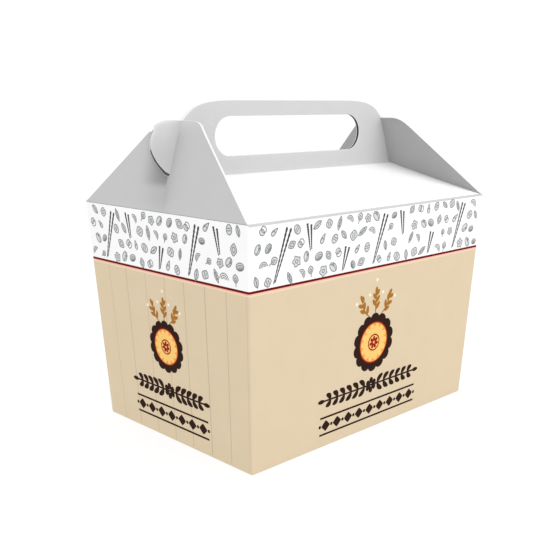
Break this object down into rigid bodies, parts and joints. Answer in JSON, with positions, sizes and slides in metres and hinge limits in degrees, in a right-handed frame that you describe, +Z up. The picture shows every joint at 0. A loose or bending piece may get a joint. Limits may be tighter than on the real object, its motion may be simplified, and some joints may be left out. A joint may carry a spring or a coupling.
{
  "type": "noodle takeaway box",
  "caption": "Shut gable-top carry box of folded printed board for takeaway noodles, with an upright handle, a rounded hand hole and leaning end flaps.",
  "frame": {"origin": "middle of the flat bottom, on the surface that the box stands on", "axes": "+X along the long walls and the handle, -Y out of the front wall, +Z up"},
  "size_m": [0.21, 0.1484, 0.1973],
  "materials": {
    "printed_board": "matt beige print on folding board",
    "white_board": "bare white coated board",
    "grey_board": "pale grey board of the handle and the end flaps",
    "red_line": "matt dark red printed line",
    "ornament_print": "matt dark brown printed ornament"
  },
  "bodies": {
    "root": {"carton": "printed_board"}
  },
  "joints": []
}
